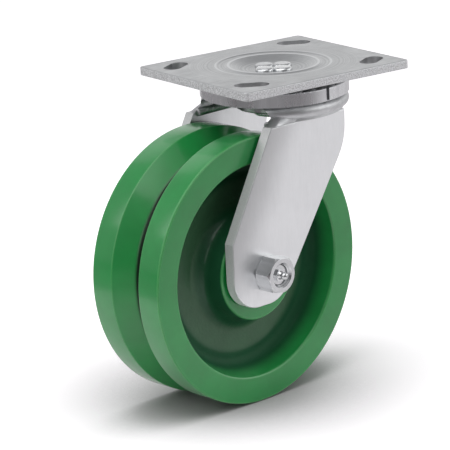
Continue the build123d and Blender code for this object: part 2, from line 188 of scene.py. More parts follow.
class CasterSizes(bpy.types.PropertyGroup):
    """Sizes of the pieces that are modelled here, in metres."""

    tread_radius: length_setting("Tread Radius", "Radius of the wheel over its two treads", 0.0762)
    tread_half_width: length_setting("Half Width", "Half of the width over the rim", 0.0266)
    groove_half_width: length_setting(
        "Groove Half Width",
        "Half of the V-groove's width at the tread, which is also its depth to the sharp root",
        0.0111,
    )
    rim_mouth: length_setting("Rim Mouth", "Radius of the recess at the wheel's side face", 0.0612)
    rim_root: length_setting("Rim Root", "Radius of the recess where it meets the web", 0.0565)
    web_half: length_setting("Half Web", "Half of the web's thickness", 0.0110)
    hub_half: length_setting("Half Hub", "Half of the hub's length", 0.02665)
    hub_face: length_setting("Hub Face Radius", "Radius of the hub at its end face", 0.0283)
    hub_root: length_setting("Hub Root Radius", "Radius of the hub where it meets the web", 0.0306)
    hub_bore: length_setting("Hub Bore Radius", "Radius of the hub's bore", 0.01508)
    thread_pitch: length_setting("Thread Pitch", "Pitch of the axle's fine thread", 0.00127)
    weld_ripple: length_setting(
        "Weld Ripple", "Distance from one ripple of a weld bead to the next", 0.0013
    )
    weld_inset: length_setting(
        "Weld Inset",
        "How far the middle of a weld bead stands inside the leg's inner face",
        0.0002,
    )
    thread_radius: length_setting(
        "Thread Radius", "Radius of the nut's bore, where its thread starts", 0.00637
    )
    wheel_steps: IntProperty(
        name="Wheel Steps",
        description="Steps of the spin that turns the wheel",
        default=256,
        min=48,
        max=360,
    )


class CasterColours(bpy.types.PropertyGroup):
    """Colours of the finishes."""

    zinc_light: colour_setting("Bright Zinc", "Colour of bright zinc plating", (0.72, 0.73, 0.74))
    zinc_dull: colour_setting(
        "Dull Zinc", "Colour of zinc plating where it has dulled", (0.5, 0.51, 0.52)
    )
    enamel: colour_setting(
        "Green Enamel", "Colour of the wheel's enamel on its turned faces", (0.013, 0.262, 0.055)
    )
    # Painted shade: a darker enamel over the recess and the hub's flank, standing in for the shade
    # that falls there.
    enamel_recess_painted_shade: colour_setting(
        "Deep Enamel",
        "Colour of the enamel where it lies thick in the casting's recess",
        (0.01, 0.085, 0.034),
    )
    # Partly worn enamel and partly a painted highlight: a lighter green along the wheel's edges.
    enamel_edge_wear_highlight: colour_setting(
        "Edge Enamel", "Colour of the enamel where it thins out over edges", (0.12, 0.46, 0.15)
    )
    # Painted light: a lighter, greyer enamel on a ring over the web's flat, which lifts the
    # recess's painted shade where the flat faces the light.
    enamel_web_flat_painted_light: colour_setting(
        "Satin Enamel",
        "Colour of the thin dull enamel on the flat of the web",
        (0.045, 0.13, 0.062),
    )


class CasterStudio(bpy.types.PropertyGroup):
    """Camera and floor."""

    camera_place: FloatVectorProperty(
        name="Camera Place",
        description="Where the camera stands, in the caster's frame",
        default=(-1.00857, -1.34885, 0.363734),
        size=3,
        unit="LENGTH",
        subtype="TRANSLATION",
    )
    camera_heading: angle_setting(
        "Heading",
        "Direction the camera looks in, counted from +X towards +Y",
        math.radians(54.286),
    )
    camera_tilt: angle_setting("Tilt", "How far the camera looks down", 0.2649291)
    camera_roll: angle_setting("Roll", "Turn of the camera about its line of sight", -0.0476315)
    camera_lens: FloatProperty(
        name="Lens",
        description="Focal length on a 36 mm sensor",
        default=244.3,
        unit="CAMERA",
    )
    sheet_left: length_setting(
        "Sheet Left",
        "How far the white sheet reaches to the left of the caster, as metal and enamel see it",
        0.33,
    )
    sheet_front: length_setting(
        "Sheet Front",
        "How far the white sheet reaches in front of the caster, as metal and enamel see it",
        0.25,
    )
    sheet_right_tone: share_setting(
        "Sheet Right Tone",
        "Tone of the white sheet to the right of the caster, as metal and enamel see it",
        0.72,
    )
    surround: share_setting(
        "Surround",
        "Brightness of the floor past the sheet's edge, as metal and enamel see it",
        0.34,
    )
    floor_lift: share_setting(
        "Floor Lift",
        "Light added to the floor far from the wheel, so that it meets the white backdrop",
        0.55,
    )
    mirrored_lift: share_setting(
        "Mirrored Lift", "Share of the added light that metal and enamel see in the floor", 0.65
    )
    # The soft dark foot is a painted shadow: the floor's colour darkens where ambient occlusion
    # finds the caster within this reach.
    foot_reach: length_setting(
        "Foot Reach", "How far from the wheel the soft dark foot under it reaches", 0.15
    )
    foot_shade: share_setting(
        "Foot Shade",
        "Tone of the floor right under the wheel, where the soft dark foot is deepest",
        0.4,
    )
    # A weaker painted shadow on the floor, as metal and enamel see it in their reflections.
    foot_mirrored_shade: share_setting(
        "Foot Bounce", "Tone of the floor under the wheel, as metal and enamel see it", 0.7
    )
    floor_drop: length_setting(
        "Floor Drop", "Height of the floor below the wheel's lowest point", 0.0002
    )


# Small helpers for objects and meshes


def clear_selection():
    """Back to object mode with nothing selected, so an operator acts on its own piece only."""
    if bpy.context.object and bpy.context.object.mode != "OBJECT":
        bpy.ops.object.mode_set(mode="OBJECT")
    bpy.ops.object.select_all(action="DESELECT")


def above_axle(distance, radius):
    """A point at a distance along the axle and a radius straight above it."""
    return AXLE_CENTRE + AXLE * distance + UP * radius


def settle(piece, body):
    """Puts the piece's place into its mesh, then lets it ride on its body."""
    clear_selection()
    piece.select_set(True)
    bpy.context.view_layer.objects.active = piece
    bpy.ops.object.transform_apply(location=True, rotation=True, scale=True)
    clear_selection()
    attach(piece, body)


def dress(piece, material):
    """Gives the whole piece one material."""
    if piece.material_slots:
        for slot in piece.material_slots:
            slot.material = material
    else:
        piece.data.materials.append(material)


def dress_nodes(names, material):
    """Gives CAD nodes one material."""
    for name in names:
        dress(NODES[name], material)


def smooth(piece, degrees):
    """Smooth shading with sharp edges past an angle."""
    clear_selection()
    piece.select_set(True)
    bpy.context.view_layer.objects.active = piece
    bpy.ops.object.shade_smooth_by_angle(angle=math.radians(degrees))
    clear_selection()


def select_at(piece, place, reach=2e-6):
    """In edit mode, selects only the vertex that lies at a place."""
    mesh = bmesh.from_edit_mesh(piece.data)
    for vertex in mesh.verts:
        vertex.select = (vertex.co - place).length < reach
    mesh.select_flush_mode()
    bmesh.update_edit_mesh(piece.data)


def turned_piece(name, corners, steps):
    """A solid of revolution about the axle. Each corner is (distance along, radius, round)."""
    places = [above_axle(along, radius) for along, radius, _ in corners]
    clear_selection()
    bpy.ops.mesh.primitive_plane_add(size=0.01, location=(0.0, 0.0, 0.0))
    piece = bpy.context.object
    piece.name = name
    bpy.ops.object.mode_set(mode="EDIT")
    bpy.ops.mesh.select_mode(type="VERT")
    bpy.ops.mesh.select_all(action="SELECT")
    bpy.ops.mesh.merge(type="CENTER")
    bpy.ops.transform.translate(value=places[0])
    for before, after in zip(places, places[1:]):
        bpy.ops.mesh.extrude_vertices_move(TRANSFORM_OT_translate={"value": after - before})
    bpy.ops.mesh.select_all(action="SELECT")
    bpy.ops.mesh.edge_face_add()
    count = len(corners)
    for index, (_, _, radius) in enumerate(corners):
        if radius <= 0.0:
            continue
        here = places[index]
        arriving = (here - places[index - 1]).normalized()
        leaving = (places[(index + 1) % count] - here).normalized()
        turn = arriving.angle(leaving)
        select_at(piece, here)
        bpy.ops.mesh.bevel(
            offset=radius * math.tan(turn / 2),
            offset_type="OFFSET",
            segments=max(3, int(math.degrees(turn) / 8)),
            affect="VERTICES",
        )
    bpy.ops.mesh.select_all(action="SELECT")
    bpy.ops.mesh.delete(type="ONLY_FACE")
    bpy.ops.mesh.select_all(action="SELECT")
    bpy.ops.mesh.spin(
        steps=steps, angle=2 * math.pi, center=AXLE_CENTRE, axis=AXLE, use_auto_merge=False
    )
    bpy.ops.mesh.select_all(action="SELECT")
    bpy.ops.mesh.remove_doubles(threshold=1e-6)
    bpy.ops.mesh.normals_make_consistent(inside=False)
    bpy.ops.object.mode_set(mode="OBJECT")
    return piece


def span_along(node, direction, origin=Vector((0.0, 0.0, 0.0))):
    """The least and greatest distance of a CAD node's corners along a direction."""
    place = node.matrix_world
    reach = [direction.dot(place @ vertex.co - origin) for vertex in node.data.vertices]
    return min(reach), max(reach)


def rippled_bead(name, start, direction, length, radius, step):
    """A weld bead: a round bar whose rings swell and shrink as the pool froze."""
    clear_selection()
    turn = direction.to_track_quat("Z", "Y").to_euler()
    bpy.ops.mesh.primitive_circle_add(
        vertices=20, radius=radius * BEAD_END, fill_type="NGON", location=start, rotation=turn
    )
    bead = bpy.context.object
    bead.name = name
    bpy.ops.object.transform_apply(location=True, rotation=True, scale=True)
    bpy.ops.object.mode_set(mode="EDIT")
    bpy.ops.mesh.select_mode(type="VERT")
    bpy.ops.mesh.select_all(action="SELECT")
    here = Vector(start)
    swell = 1.0 / BEAD_END
    for _ in range(int(length / step)):
        for run, grow in zip(BEAD_STEPS, (swell, BEAD_SWELL, BEAD_SHRINK)):
            bpy.ops.mesh.extrude_region_move(
                TRANSFORM_OT_translate={"value": direction * (step * run)}
            )
            here += direction * (step * run)
            bpy.ops.transform.resize(value=(grow, grow, grow), center_override=here)
        swell = 1.0 / (BEAD_SWELL * BEAD_SHRINK)
    bpy.ops.transform.resize(value=(BEAD_END, BEAD_END, BEAD_END), center_override=here)
    bpy.ops.mesh.select_all(action="SELECT")
    bpy.ops.mesh.normals_make_consistent(inside=False)
    bpy.ops.object.mode_set(mode="OBJECT")
    return bead


# Node helpers


def wire(tree, node, inputs):
    """Gives each input of a node its value, or the socket that feeds it."""
    for key, value in inputs.items():
        if isinstance(value, bpy.types.NodeSocket):
            tree.links.new(value, node.inputs[key])
        else:
            node.inputs[key].default_value = value


def add_node(tree, kind, place, inputs=None, **settings):
    """A node at a place in the tree, with its settings and inputs."""
    made = tree.nodes.new(kind)
    made.location = place
    for key, value in settings.items():
        setattr(made, key, value)
    wire(tree, made, inputs or {})
    return made


def calculate(tree, place, operation, *values, clamp=False):
    """What a Math node makes of values and sockets."""
    inputs = dict(enumerate(values))
    made = add_node(tree, "ShaderNodeMath", place, inputs, operation=operation, use_clamp=clamp)
    return made.outputs[0]


def calculate_vector(tree, place, operation, *vectors, **named):
    """What a Vector Math node makes of vectors: its outputs Vector and Value."""
    inputs = {**dict(enumerate(vectors)), **named}
    return add_node(tree, "ShaderNodeVectorMath", place, inputs, operation=operation).outputs


def spread(tree, place, value, start, end, low=0.0, high=1.0, smooth=False):
    """Goes from low to high as a value goes from start to end."""
    made = add_node(
        tree,
        "ShaderNodeMapRange",
        place,
        {"Value": value, "From Min": start, "From Max": end, "To Min": low, "To Max": high},
        interpolation_type="SMOOTHSTEP" if smooth else "LINEAR",
    )
    return made.outputs[0]


def between(tree, place, mask, low, high):
    """Goes from low to high as a mask goes from 0 to 1."""
    return spread(tree, place, mask, 0.0, 1.0, low, high)


def mix_values(tree, place, mask, first, second):
    """Blends from a first value to a second by a mask."""
    return add_node(tree, "ShaderNodeMix", place, {0: mask, 2: first, 3: second}).outputs[0]


def mix_colours(tree, place, mask, first, second):
    """Blends from a first colour to a second by a mask."""
    inputs = {0: mask, 6: first, 7: second}
    return add_node(tree, "ShaderNodeMix", place, inputs, data_type="RGBA").outputs[2]


def add_noise(tree, place, vector, scale, detail=2.0, roughness=0.5):
    """The value of a noise texture."""
    inputs = {"Vector": vector, "Scale": scale, "Detail": detail, "Roughness": roughness}
    return add_node(tree, "ShaderNodeTexNoise", place, inputs).outputs[0]


def add_bump(tree, height, strength, distance):
    """The normal of a surface that a height roughens."""
    inputs = {"Strength": strength, "Distance": distance, "Height": height}
    return add_node(tree, "ShaderNodeBump", (400, -320), inputs).outputs[0]


def shaded(colour, tone):
    """A colour times a tone, opaque and no brighter than 1."""
    return [min(1.0, part * tone) for part in colour[:3]] + [1.0]


# The effects that several finishes share


VECTOR = ("Vector", "NodeSocketVector", None)


def new_group(name, ins, outs):
    """An empty shader node group with named sockets. Returns its tree and what comes in."""
    tree = bpy.data.node_groups.new(name, "ShaderNodeTree")
    for label, kind, value in ins:
        socket = tree.interface.new_socket(name=label, in_out="INPUT", socket_type=kind)
        if value is not None:
            socket.default_value = value
    for label in outs:
        tree.interface.new_socket(name=label, in_out="OUTPUT", socket_type="NodeSocketFloat")
    return tree, add_node(tree, "NodeGroupInput", (-900, 0)).outputs


def close_group(tree, results):
    """Puts out what the group has made."""
    add_node(tree, "NodeGroupOutput", (600, 0), results)
    return tree


def drawn_grain_group():
    """Fine parallel scratches of belt-finished steel; the material stretches the vector."""
    tree, given = new_group(
        "Drawn Grain", [VECTOR, ("Density", "NodeSocketFloat", 900.0)], ["Grain", "Height"]
    )
    vector, density = given["Vector"], given["Density"]
    third = calculate(tree, (-760, -200), "MULTIPLY", density, 0.28)
    fine = add_noise(tree, (-600, 200), vector, density, 3.0, 0.6)
    coarse = add_noise(tree, (-600, -100), vector, third)
    height = mix_values(tree, (-300, 100), 0.4, fine, coarse)
    grain = spread(tree, (-60, 100), height, 0.34, 0.66)
    return close_group(tree, {"Grain": grain, "Height": height})


def plated_bloom_group():
    """Soft cloudy patches of zinc plating, with a sprinkle of small pits."""
    tree, given = new_group(
        "Plated Bloom", [VECTOR, ("Patch Scale", "NodeSocketFloat", 45.0)], ["Tone", "Pits"]
    )
    cloud = add_noise(tree, (-600, 200), given["Vector"], given["Patch Scale"], 5.0, 0.62)
    speck = add_noise(tree, (-600, -150), given["Vector"], 1500.0)
    tone = spread(tree, (-300, 200), cloud, 0.3, 0.7)
    pits = spread(tree, (-300, -150), speck, 0.6, 0.72)
    return close_group(tree, {"Tone": tone, "Pits": pits})


def turned_lines_group():
    """Fine rings about the Z axis of the vector, as a lathe or a press leaves them."""
    tree, given = new_group(
        "Turned Lines",
        [VECTOR, ("Rings Per Metre", "NodeSocketFloat", 1400.0)],
        ["Rings", "Radius"],
    )
    flat = calculate_vector(tree, (-700, 0), "MULTIPLY", given["Vector"], (1.0, 1.0, 0.0))
    radius = calculate_vector(tree, (-520, 0), "LENGTH", flat["Vector"])["Value"]
    lines = add_node(
        tree,
        "ShaderNodeTexNoise",
        (-300, 0),
        {"W": radius, "Scale": given["Rings Per Metre"], "Detail": 3.0, "Roughness": 0.7},
        noise_dimensions="1D",
    )
    rings = spread(tree, (0, 0), lines.outputs[0], 0.3, 0.7)
    return close_group(tree, {"Rings": rings, "Radius": radius})


def edge_wear_and_highlight_group():
    """A mask that is 1 along edges, from how far a rounded normal leans away from the true one."""
    tree, given = new_group(
        "Edge Wear and Highlight",
        [("Width", "NodeSocketFloat", 0.0006), ("Gain", "NodeSocketFloat", 6.0)],
        ["Mask"],
    )
    rounded = add_node(
        tree, "ShaderNodeBevel", (-650, 100), {"Radius": given["Width"]}, samples=4
    ).outputs[0]
    sharp = add_node(tree, "ShaderNodeNewGeometry", (-650, -100)).outputs["Normal"]
    agree = calculate_vector(tree, (-400, 0), "DOT_PRODUCT", rounded, sharp)["Value"]
    lean = calculate(tree, (-200, 0), "SUBTRACT", 1.0, agree)
    mask = calculate(tree, (0, 0), "MULTIPLY", lean, given["Gain"], clamp=True)
    return close_group(tree, {"Mask": mask})


GROUP_MAKERS = {
    "Drawn Grain": drawn_grain_group,
    "Plated Bloom": plated_bloom_group,
    "Turned Lines": turned_lines_group,
    "Edge Wear and Highlight": edge_wear_and_highlight_group,
}
GROUPS = {}


def group_node(tree, name, place, inputs):
    """Places one of the shared effects in a material. Returns what it puts out."""
    if name not in GROUPS:
        GROUPS[name] = GROUP_MAKERS[name]()
    return add_node(tree, "ShaderNodeGroup", place, inputs, node_tree=GROUPS[name]).outputs


# Finishes


def new_material(name, **surface):
    """A material with one Principled BSDF, whose plain values are set on its own sockets."""
    material = bpy.data.materials.new(name)
    material.use_nodes = True
    tree = material.node_tree
    tree.nodes.clear()
    shader = add_node(tree, "ShaderNodeBsdfPrincipled", (600, 0), surface)
    add_node(tree, "ShaderNodeOutputMaterial", (900, 0), {"Surface": shader.outputs[0]})
    return material, tree, shader


def local_vector(tree, centre, turn):
    """Object coordinates moved to a centre and turned."""
    source = add_node(tree, "ShaderNodeTexCoord", (-1300, 0)).outputs["Object"]
    inputs = {"Vector": source, "Location": centre, "Rotation": turn}
    moved = add_node(tree, "ShaderNodeMapping", (-1100, 0), inputs, vector_type="TEXTURE")
    return moved.outputs[0]


def add_ring(tree, radius, inner, outer, strength=1.0, soft=0.0008):
    """A mask that rises to a strength between two radii, with soft edges."""
    half = (outer - inner) / 2
    away = calculate(tree, (-300, 800), "SUBTRACT", radius, (inner + outer) / 2)
    distance = calculate(tree, (-150, 800), "ABSOLUTE", away)
    return spread(tree, (0, 800), distance, half, half + soft, strength, 0.0, smooth=True)


def inside_outline(tree, place, outline):
    """A mask that is 1 close to a rectangle's outline, given as half its width and depth."""
    reach = calculate_vector(tree, (-650, -1150), "DIVIDE", place, outline)["Vector"]
    size = calculate_vector(tree, (-450, -1150), "ABSOLUTE", reach)["Vector"]
    split = add_node(tree, "ShaderNodeSeparateXYZ", (-300, -1150), {0: size}).outputs
    furthest = calculate(tree, (-150, -1150), "MAXIMUM", split["X"], split["Y"])
    return spread(tree, (0, -1150), furthest, 0.96, 0.98)


def add_sheared_edge(tree, place, colour, light, across, strength, tones, outline=None):
    """Frosts the cut edges of a plate, whose faces look along a direction.

    Returns the colour, and a mask of the cut.
    """
    speck = add_noise(tree, (-650, -700), place, 1300.0)
    grit = spread(tree, (-450, -700), speck, 0.36, 0.62)
    facing = add_node(tree, "ShaderNodeTexCoord", (-650, -950)).outputs["Normal"]
    lean = calculate_vector(tree, (-450, -950), "DOT_PRODUCT", facing, across)["Value"]
    level = calculate(tree, (-300, -950), "ABSOLUTE", lean)
    cut = spread(tree, (-150, -950), level, 0.2, 0.6, strength, 0.0)
    torn = mix_colours(
        tree, (-150, -700), grit, shaded(light, tones[0]), shaded(light, tones[1])
    )
    if outline:
        rim = inside_outline(tree, place, outline)
        cut = calculate(tree, (150, -1000), "MULTIPLY", cut, rim)
    return mix_colours(tree, (50, -700), cut, colour, torn), cut


def add_painted_side_shade(tree, place, colour, across, start, end, tones):
    """Paints shade on a plate at its leading edge, where it is rolled over, and a little painted
    light towards its flat middle.
    """
    reach = calculate_vector(tree, (-300, 1000), "DOT_PRODUCT", place, across)["Value"]
    level = spread(tree, (-100, 1000), reach, start, end, *tones, smooth=True)
    return calculate_vector(tree, (200, 900), "SCALE", colour, Scale=level)["Vector"]


def zinc_finish(
    name,
    centre=(0.0, 0.0, 0.0),
    turn=(0.0, 0.0, 0.0),
    stretch=(1.0, 1.0, 1.0),
    density=900.0,
    tone=1.0,
    contrast=1.0,
    rough=(0.3, 0.46),
    grain_depth=0.25,
    pit_depth=0.15,
    edge_wear_highlight=0.5,
    rings=0.0,
    ring_density=1400.0,
    ring_reach=0.0,
    painted_highlight_rings=(),
    sheared=None,
    # dulled: painted shade along a plate's leading edge, and a little painted light towards its
    # middle.
    dulled=None,
):
    """Bright zinc plating over drawn steel.

    The stretch draws the grain out, the density is its lines per metre, and the rings are turned
    or pressed about the centre. Edges are lightened, partly by wear and partly as a painted
    highlight. Painted highlight rings on pressed ridges, sheared edges and a painted side shade
    are given as add_ring, add_sheared_edge and add_painted_side_shade take them.
    """
    colours = bpy.context.scene.caster_colours
    light = shaded(colours.zinc_light, tone)
    dull = shaded(
        [
            bright + (low - bright) * contrast
            for bright, low in zip(colours.zinc_light, colours.zinc_dull)
        ],
        tone,
    )
    material, tree, shader = new_material(name, Metallic=1.0)
    place = local_vector(tree, centre, turn)
    drawn_out = add_node(
        tree, "ShaderNodeMapping", (-900, 0), {"Vector": place, "Scale": stretch}
    ).outputs[0]
    grain = group_node(
        tree, "Drawn Grain", (-650, 200), {"Vector": drawn_out, "Density": density}
    )
    bloom = group_node(tree, "Plated Bloom", (-650, -50), {"Vector": place, "Patch Scale": 55.0})
    edges = group_node(tree, "Edge Wear and Highlight", (-650, -420), {"Width": 0.0005, "Gain": 5.0})

    half_grain = calculate(tree, (-400, 120), "MULTIPLY", grain["Grain"], 0.5)
    level = calculate(tree, (-240, 60), "MULTIPLY_ADD", bloom["Tone"], 0.5, half_grain)
    height = grain["Height"]
    # Edges lighten, partly by wear and partly as a painted highlight; the rings below add painted
    # highlights on pressed ridges.
    wear_and_highlight = calculate(tree, (120, -300), "MULTIPLY", edges["Mask"], edge_wear_highlight)
    if rings > 0.0:
        turned = group_node(
            tree, "Turned Lines", (-650, 450), {"Vector": place, "Rings Per Metre": ring_density}
        )
        share = rings
        if ring_reach > 0.0:
            share = spread(
                tree, (-300, 600), turned["Radius"], ring_reach, ring_reach * 1.25, rings, 0.0
            )
        level = mix_values(tree, (-80, 200), share, level, turned["Rings"])
        height = mix_values(tree, (-80, 400), rings, height, turned["Rings"])
        # Painted highlights on pressed ridges.
        for inner, outer, strength in painted_highlight_rings:
            ring = add_ring(tree, turned["Radius"], inner, outer, strength)
            wear_and_highlight = calculate(tree, (160, 800), "MAXIMUM", ring, wear_and_highlight)

    colour = mix_colours(tree, (120, 120), level, dull, light)
    if sheared:
        colour, cut = add_sheared_edge(tree, place, colour, light, *sheared)
        wire(tree, shader, {"Metallic": between(tree, (320, -500), cut, 1.0, FROSTED_METAL)})
    # Painted shade at the leading edge, a little painted light towards the middle.
    if dulled:
        colour = add_painted_side_shade(tree, place, colour, *dulled)
    colour = mix_colours(tree, (320, 120), wear_and_highlight, colour, shaded(light, 1.25))
    roughness = between(tree, (320, -60), level, rough[1], rough[0])
    pitted = calculate(tree, (120, -120), "MULTIPLY_ADD", bloom["Pits"], -pit_depth, height)
    normal = add_bump(tree, pitted, grain_depth, 0.0002)
    wire(tree, shader, {"Base Color": colour, "Roughness": roughness, "Normal": normal})
    return material


def cast_recess(tree, radius, across):
    """A mask of the wheel's cast faces: the recess below the rim's mouth, and the hub's flank."""
    sizes = bpy.context.scene.caster_sizes
    below_rim = spread(tree, (-600, 300), radius, sizes.rim_mouth, sizes.rim_mouth - 0.0012)
    below_face = spread(
        tree,
        (-600, 450),
        across,
        sizes.tread_half_width - 0.003,
        sizes.web_half + 0.002,
        smooth=True,
    )
    recess = calculate(tree, (-400, 300), "MULTIPLY", below_rim, below_face)
    on_hub = spread(tree, (-600, 800), radius, sizes.hub_root + 0.006, sizes.hub_root + 0.002)
    off_face = spread(tree, (-600, 950), across, sizes.hub_half - 0.0004, sizes.hub_half - 0.0016)
    flank = calculate(tree, (-400, 850), "MULTIPLY", on_hub, off_face)
    return calculate(tree, (-250, 450), "MAXIMUM", recess, flank)


def enamel_finish():
    """Green enamel on the iron wheel: smooth over the turned treads, grainy over the recess, with
    painted shade in the recess and the groove's root.
    """
    colours = bpy.context.scene.caster_colours
    material, tree, shader = new_material(
        "Green Enamel",
        **{"Metallic": 0.0, "Coat Roughness": 0.18, "Coat IOR": 1.55, "Specular IOR Level": 0.15},
    )
    place = local_vector(tree, AXLE_CENTRE, AXLE_TURN)
    split = add_node(tree, "ShaderNodeSeparateXYZ", (-850, 650), {0: place}).outputs
    across = calculate(tree, (-650, 650), "ABSOLUTE", split["Z"])
    turned = group_node(
        tree, "Turned Lines", (-650, 450), {"Vector": place, "Rings Per Metre": 900.0}
    )
    radius = turned["Radius"]
    edges = group_node(tree, "Edge Wear and Highlight", (-650, -420), {"Width": 0.0015, "Gain": 9.0})
    cloud = add_noise(tree, (-650, 0), place, 38.0, 4.0, 0.6)
    sand = add_noise(tree, (-650, -200), place, 520.0, 3.0, 0.55)
    peel = add_noise(tree, (-400, -200), place, 230.0, 1.0)
    recess = cast_recess(tree, radius, across)
    # Painted shade: colour and coat darken towards the groove's root, where little light reaches.
    root = spread(tree, (-250, 650), across, 0.0006, 0.0026, 0.03, 1.0, smooth=True)

    # Painted shade: the recess and the hub's flank take the darker enamel.
    colour = mix_colours(
        tree,
        (-150, 250),
        recess,
        shaded(colours.enamel, 1.0),
        shaded(colours.enamel_recess_painted_shade, 1.0),
    )
    # Painted light on the flat of the web.
    flat_of_web = add_ring(tree, radius, *WEB_FLAT_LIGHT_RING, soft=0.005)
    colour = mix_colours(
        tree, (0, 350), flat_of_web, colour, shaded(colours.enamel_web_flat_painted_light, 1.0)
    )
    cloudy = spread(tree, (-400, 60), cloud, 0.3, 0.7, 0.88, 1.1)
    colour = calculate_vector(tree, (60, 200), "SCALE", colour, Scale=cloudy)["Vector"]
    # Edges lighten: partly worn enamel, partly a painted highlight.
    colour = mix_colours(
        tree, (260, 200), edges["Mask"], colour, shaded(colours.enamel_edge_wear_highlight, 1.0)
    )
    # The groove root's painted shade.
    colour = calculate_vector(tree, (430, 300), "SCALE", colour, Scale=root)["Vector"]

    coat = between(tree, (260, -160), recess, 0.95, 0.45)
    trough = add_ring(tree, radius, *TROUGH_RING, soft=0.002)
    pooled = calculate(tree, (200, -600), "MULTIPLY", trough, recess)
    dull = between(tree, (350, -600), pooled, 1.0, 0.05)
    coat = calculate(tree, (350, -160), "MULTIPLY", coat, dull)
    coat = calculate(tree, (430, -160), "MULTIPLY", coat, root)

    texture = mix_values(tree, (0, -250), recess, peel, sand)
    depth = between(tree, (60, -420), recess, 0.04, 0.5)
    height = calculate(tree, (240, -350), "MULTIPLY", texture, depth)
    wire(
        tree,
        shader,
        {
            "Base Color": colour,
            "Roughness": between(tree, (260, 0), recess, 0.36, 0.55),
            "Coat Weight": coat,
            "Normal": add_bump(tree, height, 0.6, 0.0006),
        },
    )
    return material


# Pieces


class CASTER_OT_plate(bpy.types.Operator):
    """Finish the stamped top plate: pressed rings round the dish and fine rolled grain"""

    bl_idname = "caster.plate"
    bl_label = "Top Plate"

    def execute(self, context):
        finish = zinc_finish(
            "Plate Zinc",
            stretch=(0.12, 1.0, 1.0),
            density=1500.0,
            tone=0.79,
            rough=(0.3, 0.46),
            grain_depth=0.3,
            rings=0.55,
            ring_density=900.0,
            ring_reach=0.042,
            # Painted highlights on the pressed ridges round the dish.
            painted_highlight_rings=((0.0252, 0.026, 0.8), (0.0325, 0.033, 0.6)),
            sheared=(UP, 0.8, (0.95, 1.6), PLATE_HALF),
        )
        dress_nodes(["top_plate"], finish)
        return {"FINISHED"}


class CASTER_OT_kingpin(bpy.types.Operator):
    """Finish the riveted kingpin in the plate's dish"""

    bl_idname = "caster.kingpin"
    bl_label = "Kingpin"

    def execute(self, context):
        finish = zinc_finish("Rivet Zinc", density=300.0, rough=(0.2, 0.34))
        dress_nodes(["kingpin"], finish)
        return {"FINISHED"}


class CASTER_OT_crown(bpy.types.Operator):
    """Finish the forged crown and the split dust ring round it"""

    bl_idname = "caster.crown"
    bl_label = "Crown and Dust Ring"

    def execute(self, context):
        forged = zinc_finish(
            "Forged Zinc",
            density=240.0,
            tone=0.84,
            rough=(0.34, 0.5),
            grain_depth=0.35,
            pit_depth=0.5,
        )
        sprung = zinc_finish(
            "Band Zinc",
            stretch=(1.0, 1.0, 0.06),
            density=600.0,
            rough=(0.2, 0.36),
            grain_depth=0.2,
        )
        dress_nodes(["crown"], forged)
        dress_nodes(["dust_ring"], sprung)
        return {"FINISHED"}


class CASTER_OT_legs(bpy.types.Operator):
    """Finish the two tapered legs of the fork"""

    bl_idname = "caster.legs"
    bl_label = "Fork Legs"

    def execute(self, context):
        finish = zinc_finish(
            "Leg Zinc",
            turn=(0.0, 0.0, REST_TURN),
            stretch=(1.0, 1.0, 0.12),
            density=1600.0,
            tone=1.02,
            rough=(0.36, 0.42),
            grain_depth=0.05,
            pit_depth=0.05,
            contrast=0.3,
            sheared=(AXLE, 1.0, (1.25, 1.4)),
            # Painted shade along the leading edge of each leg, and a little painted light towards
            # the middle.
            dulled=((0.881, 0.0, -0.4735), -0.0212, 0.006, (0.68, 1.07)),
        )
        dress_nodes(["near_leg", "far_leg"], finish)
        return {"FINISHED"}


class CASTER_OT_wheel(bpy.types.Operator):
    """Turn the iron V-groove wheel and enamel it green"""

    bl_idname = "caster.wheel"
    bl_label = "V-Groove Wheel"

    def execute(self, context):
        s = context.scene.caster_sizes
        far = [
            (s.hub_half, s.hub_bore, 0.0),
            (s.hub_half, s.hub_face, HUB_ROUND),
            (s.web_half, s.hub_root, HUB_FILLET),
            (s.web_half, s.rim_root, RIM_FILLET),
            (s.tread_half_width, s.rim_mouth, MOUTH_ROUND),
            (s.tread_half_width, s.tread_radius, TREAD_ROUND),
            (s.groove_half_width, s.tread_radius, TREAD_ROUND),
        ]
        root = [(0.0, s.tread_radius - s.groove_half_width, GROOVE_ROUND)]
        near = [(-along, radius, round_off) for along, radius, round_off in reversed(far)]
        wheel = turned_piece("track_wheel_casting", far + root + near, s.wheel_steps)
        dress(wheel, enamel_finish())
        smooth(wheel, 35.0)
        settle(wheel, "track_wheel")
        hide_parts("wheel")
        return {"FINISHED"}


